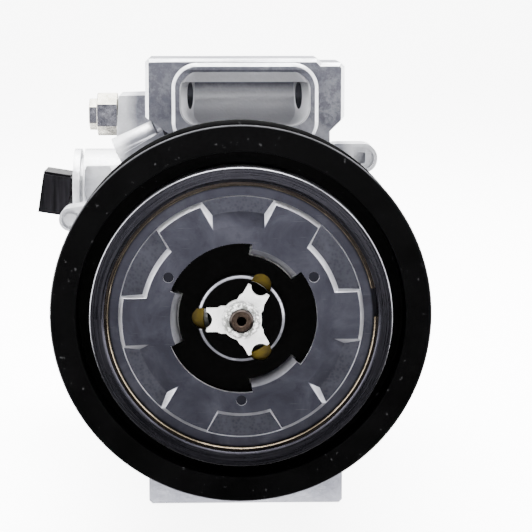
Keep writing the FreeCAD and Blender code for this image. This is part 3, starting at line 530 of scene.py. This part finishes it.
FINISHES = {
    "rim_plastic": phenolic(),
    "insert_steel": insert_steel(),
    "ring_steel": snap_ring_steel(),
    "cover_zinc": zinc_cover(),
    "black_rubber": coated("black_rubber", (0.006, 0.006, 0.007), (0.014, 0.014, 0.015), 0.6, 0.8),
    "disc_black": limiter_black(),
    "hub_steel": hub_steel(),
    "machined_steel": machined("machined_steel", (0.48, 0.48, 0.49), (0.68, 0.68, 0.68)),
    "spring_steel": machined("spring_steel", (0.20, 0.20, 0.21), (0.38, 0.37, 0.36)),
    "cage_plastic": coated("cage_plastic", (0.22, 0.16, 0.08), (0.32, 0.25, 0.14), 0.45, 0.6),
    "cast_aluminium": cast_aluminium(),
    "bolt_steel": machined("bolt_steel", (0.42, 0.42, 0.44), (0.62, 0.62, 0.63)),
    "gasket_grey": coated("gasket_grey", (0.13, 0.13, 0.14), (0.22, 0.22, 0.23), 0.55, 0.7),
    "reed_steel": machined("reed_steel", (0.46, 0.47, 0.48), (0.64, 0.65, 0.66)),
    "yellow_chromate": yellow_chromate(),
    "iron": machined("iron", (0.20, 0.19, 0.185), (0.36, 0.35, 0.34), 0.35, 0.6),
    "piston_aluminium": machined("piston_aluminium", (0.55, 0.55, 0.56), (0.74, 0.74, 0.75)),
    "shoe_steel": machined("shoe_steel", (0.60, 0.60, 0.60), (0.74, 0.74, 0.74), 0.12, 0.25),
    "relief_nickel": relief_nickel(),
    "valve_brass": machined("valve_brass", (0.50, 0.36, 0.14), (0.72, 0.56, 0.28)),
    "connector_plastic": connector_plastic(),
    "shaft": shaft_steel(),
}

# --- the pieces ---------------------------------------------------------------------
SLOT_OF = {row["node"]: row["material_slot"] for row in frame["record"]["subparts"]}
SLOT_OF["drive_shaft"] = "shaft"
EDGES = {                       # width of the softened edges, in metres
    "front_housing": 0.0007, "rear_housing": 0.0007, "cylinder_block": 0.0006,
    "damper_cover": 0.00045, "pulley_insert": 0.00015, "pulley_rim": 0.0002,
    "hub_spider": 0.0003, "limiter_disc": 0.0002, "connector_shell": 0.0004,
    "relief_valve_body": 0.00035, "cover_snap_ring": 0.00015,
    "nose_cover_ring": 0.00015, "through_bolts": 0.00025,
}
SEAM = 1e-6                     # gap between faces that is closed, in metres
SHARP_ANGLE = math.radians(28.0)


def soften(piece, width):
    """Close the seams between faces, then round the sharp edges."""
    weld = piece.modifiers.new("weld", "WELD")
    weld.merge_threshold = SEAM
    bevel = piece.modifiers.new("bevel", "BEVEL")
    bevel.width = width
    bevel.segments = 2
    bevel.limit_method = "ANGLE"
    bevel.angle_limit = SHARP_ANGLE
    bevel.miter_outer = "MITER_ARC"
    bevel.use_clamp_overlap = True
    bevel.harden_normals = True


for name, piece in NODES.items():
    piece.data.materials.clear()
    piece.data.materials.append(FINISHES[SLOT_OF[name]])
    if name in EDGES:
        soften(piece, EDGES[name])

# --- floor, light and camera --------------------------------------------------------
FLOOR_Z = cad_low[2] - 0.0002
FLOOR_REACH = 600.0          # far enough for its edge to stay out of sight
MAT_RISE = 0.0004            # height of the reflected mat over the floor
SKY_DARK_UNTIL = -0.80       # how far toward the front, as a part of the way
SKY_BRIGHT_FROM = -0.15
SKY_DARKEST = 0.015
SKY_STRENGTH = 3.6


def plain_material(name, tone, roughness):
    material = bpy.data.materials.new(name)
    material.use_nodes = True
    shader = material.node_tree.nodes["Principled BSDF"]
    shader.inputs["Base Color"].default_value = (tone, tone, tone, 1.0)
    shader.inputs["Roughness"].default_value = roughness
    return material, shader


def sheet(name, x_range, y_range, z, material):
    """A level rectangle that is no part of the object."""
    (x0, x1), (y0, y1) = x_range, y_range
    mesh = bpy.data.meshes.new(name)
    mesh.from_pydata([(x0, y0, z), (x1, y0, z), (x1, y1, z), (x0, y1, z)], [], [(0, 1, 2, 3)])
    mesh.materials.append(material)
    laid = bpy.data.objects.new(name, mesh)
    bpy.context.scene.collection.objects.link(laid)
    return laid


def floor():
    """A pale ground that gives some light of its own."""
    pale, shader = plain_material("studio_floor", 0.92, 0.9)
    shader.inputs["Emission Color"].default_value = (1.0, 1.0, 1.0, 1.0)
    shader.inputs["Emission Strength"].default_value = 6.0
    reach = (-FLOOR_REACH, FLOOR_REACH)
    sheet("studio_floor", reach, reach, FLOOR_Z, pale)


def flag(name, x_range, y_range):
    """A dark mat before the object, seen only in reflections, as a studio flag is."""
    black, _ = plain_material(name, 0.01, 1.0)
    mat = sheet(name, x_range, y_range, FLOOR_Z + MAT_RISE, black)
    mat.visible_camera = False
    mat.visible_diffuse = False
    mat.visible_shadow = False


def light(name, at, aim, size, power):
    data = bpy.data.lights.new(name, "AREA")
    data.shape = "RECTANGLE"
    data.size, data.size_y = size
    data.energy = power
    lamp = bpy.data.objects.new(name, data)
    bpy.context.scene.collection.objects.link(lamp)
    lamp.location = at
    direction = Vector(aim) - Vector(at)
    lamp.rotation_euler = direction.to_track_quat("-Z", "Y").to_euler()


def studio_sky():
    """White all round, darkening toward the front."""
    world = bpy.data.worlds.new("studio")
    world.use_nodes = True
    sky = world.node_tree.nodes
    join = world.node_tree.links.new
    heading = sky.new("ShaderNodeTexCoord")
    parts = sky.new("ShaderNodeSeparateXYZ")
    fade = sky.new("ShaderNodeMapRange")
    fade.interpolation_type = "SMOOTHSTEP"
    for key, number in (("From Min", SKY_DARK_UNTIL), ("From Max", SKY_BRIGHT_FROM),
                        ("To Min", SKY_DARKEST), ("To Max", 1.0)):
        fade.inputs[key].default_value = number
    join(heading.outputs["Generated"], parts.inputs[0])
    join(parts.outputs["Y"], fade.inputs["Value"])
    join(fade.outputs["Result"], sky["Background"].inputs["Color"])
    sky["Background"].inputs["Strength"].default_value = SKY_STRENGTH
    bpy.context.scene.world = world


def camera():
    lens = bpy.data.cameras.new("camera")
    lens.lens = CAMERA_LENS
    lens.sensor_width = 36.0
    lens.clip_start = 0.01
    viewer = bpy.data.objects.new("camera", lens)
    bpy.context.scene.collection.objects.link(viewer)
    viewer.location = CAMERA_AT
    viewer.rotation_euler = [math.radians(angle) for angle in CAMERA_TURN]
    bpy.context.scene.camera = viewer


floor()
light("top_soft", (0.0, 0.20, 1.10), (0.0, 0.10, 0.0), (1.2, 1.0), 80.0)
light("left_soft", (-0.9, -0.10, 0.35), (0.0, 0.0, 0.0), (0.4, 0.9), 16.0)
light("right_soft", (0.9, -0.10, 0.35), (0.0, 0.0, 0.0), (0.4, 0.9), 14.0)
flag("front_flag", (-0.6, 0.6), (-1.6, 0.02))
studio_sky()
camera()
